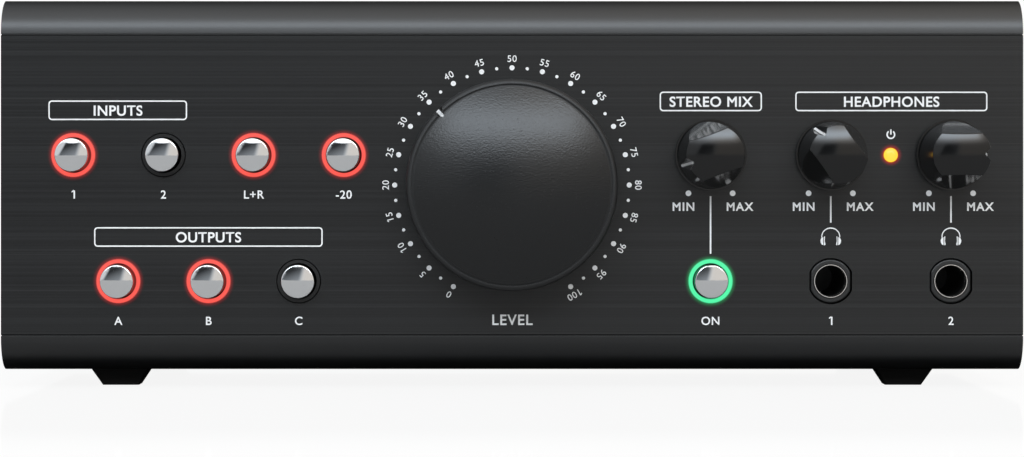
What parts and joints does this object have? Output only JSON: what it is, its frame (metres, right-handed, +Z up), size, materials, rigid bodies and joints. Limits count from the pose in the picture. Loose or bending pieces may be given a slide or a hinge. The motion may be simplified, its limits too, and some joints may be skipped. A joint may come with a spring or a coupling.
{
  "type": "studio monitor controller",
  "caption": "Desktop studio monitor controller: rolled-edge case, large domed level dial, small dials, lit push buttons, headphone and rear sockets.",
  "frame": {"origin": "on the ground, under the middle of the whole thing, dials and rear sockets included", "axes": "+X to the viewer's right, +Y to the rear, +Z up; the faceplate looks along -Y"},
  "size_m": [0.216, 0.13, 0.0823],
  "materials": {
    "bezel": "semi-gloss black paint",
    "faceplate": "black, fine horizontal brushing",
    "case": "fine textured black powder coat",
    "rubber": "matte black rubber",
    "black_screw": "black oxide",
    "steel": "bright zinc",
    "board": "green solder mask",
    "component": "black moulded package",
    "can": "sleeved can",
    "soft_knob": "soft-touch black with a leather grain",
    "gloss_knob": "polished black",
    "pointer": "white",
    "shaft": "turned",
    "chrome": "mirror",
    "red_ring": "lit red, clear plastic",
    "dark_ring": "unlit smoked plastic",
    "green_ring": "lit green, clear plastic",
    "power_light": "lit yellow",
    "socket": "black moulded",
    "ferrule": "bright nickel",
    "nut": "nickel plate",
    "rocker": "black moulded"
  },
  "bodies": {
    "root": {"front_bezel": "bezel", "faceplate": "faceplate", "top_cover": "case", "base_tray": "case", "rear_panel": "case", "foot_front_left": "rubber", "foot_front_right": "rubber", "foot_rear_left": "rubber", "foot_rear_right": "rubber", "foot_screws": "steel", "cover_screws": "black_screw", "bezel_screws": "black_screw", "rear_panel_screws": "black_screw", "board_screws": "steel", "board_standoffs": "steel", "main_board": "board", "front_board": "board", "rear_socket_board": "board", "board_header": "component", "board_capacitors": "can", "board_chips": "component", "volume_pot": "steel", "small_pots": "steel", "pot_nuts": "nut", "push_switches": "component", "red_light_rings": "red_ring", "dark_light_rings": "dark_ring", "green_light_rings": "green_ring", "power_led": "power_light", "phones_1_jack": "socket", "phones_2_jack": "socket", "headphone_ferrules": "ferrule", "source_jacks": "socket", "monitor_jacks": "socket", "rear_jack_nuts": "nut", "usb_port": "steel", "power_inlet": "socket", "power_switch_frame": "rocker"},
    "volume_dial": {"volume_knob": "soft_knob", "volume_pointer": "pointer", "volume_shaft": "shaft"},
    "crossfeed_dial": {"crossfeed_knob": "gloss_knob", "crossfeed_pointer": "pointer", "crossfeed_shaft": "shaft"},
    "phones_1_dial": {"phones_1_knob": "gloss_knob", "phones_1_pointer": "pointer", "phones_1_shaft": "shaft"},
    "phones_2_dial": {"phones_2_knob": "gloss_knob", "phones_2_pointer": "pointer", "phones_2_shaft": "shaft"},
    "source_1_cap": {"source_1_button": "chrome"},
    "source_2_cap": {"source_2_button": "chrome"},
    "mono_cap": {"mono_button": "chrome"},
    "dim_cap": {"dim_button": "chrome"},
    "monitor_a_cap": {"monitor_a_button": "chrome"},
    "monitor_b_cap": {"monitor_b_button": "chrome"},
    "monitor_c_cap": {"monitor_c_button": "chrome"},
    "crossfeed_cap": {"crossfeed_button": "chrome"},
    "rocker": {"power_rocker": "rocker"}
  },
  "joints": [
    {"name": "volume_turn", "type": "hinge", "parent": "root", "child": "volume_dial", "pos_m": [0, -0.047, 0.043], "axis": [0, 1, 0], "range_deg": [-105, 195]},
    {"name": "crossfeed_turn", "type": "hinge", "parent": "root", "child": "crossfeed_dial", "pos_m": [0.04195, -0.047, 0.04935], "axis": [0, 1, 0], "range_deg": [-40, 260]},
    {"name": "phones_1_turn", "type": "hinge", "parent": "root", "child": "phones_1_dial", "pos_m": [0.06735, -0.047, 0.04935], "axis": [0, 1, 0], "range_deg": [-114.5, 185.5]},
    {"name": "phones_2_turn", "type": "hinge", "parent": "root", "child": "phones_2_dial", "pos_m": [0.09275, -0.047, 0.04935], "axis": [0, 1, 0], "range_deg": [-240, 60]},
    {"name": "source_1_press", "type": "slide", "parent": "root", "child": "source_1_cap", "axis": [0, 1, 0], "range_m": [0, 0.0015], "stiffness_N_per_m": 400, "springref_m": -0.002},
    {"name": "source_2_press", "type": "slide", "parent": "root", "child": "source_2_cap", "axis": [0, 1, 0], "range_m": [0, 0.0015], "stiffness_N_per_m": 400, "springref_m": -0.002},
    {"name": "mono_press", "type": "slide", "parent": "root", "child": "mono_cap", "axis": [0, 1, 0], "range_m": [0, 0.0015], "stiffness_N_per_m": 400, "springref_m": -0.002},
    {"name": "dim_press", "type": "slide", "parent": "root", "child": "dim_cap", "axis": [0, 1, 0], "range_m": [0, 0.0015], "stiffness_N_per_m": 400, "springref_m": -0.002},
    {"name": "monitor_a_press", "type": "slide", "parent": "root", "child": "monitor_a_cap", "axis": [0, 1, 0], "range_m": [0, 0.0015], "stiffness_N_per_m": 400, "springref_m": -0.002},
    {"name": "monitor_b_press", "type": "slide", "parent": "root", "child": "monitor_b_cap", "axis": [0, 1, 0], "range_m": [0, 0.0015], "stiffness_N_per_m": 400, "springref_m": -0.002},
    {"name": "monitor_c_press", "type": "slide", "parent": "root", "child": "monitor_c_cap", "axis": [0, 1, 0], "range_m": [0, 0.0015], "stiffness_N_per_m": 400, "springref_m": -0.002},
    {"name": "crossfeed_press", "type": "slide", "parent": "root", "child": "crossfeed_cap", "axis": [0, 1, 0], "range_m": [0, 0.0015], "stiffness_N_per_m": 400, "springref_m": -0.002},
    {"name": "power_rock", "type": "hinge", "parent": "root", "child": "rocker", "pos_m": [0.085, 0.0575, 0.043], "axis": [1, 0, 0], "range_deg": [0, 12]}
  ]
}
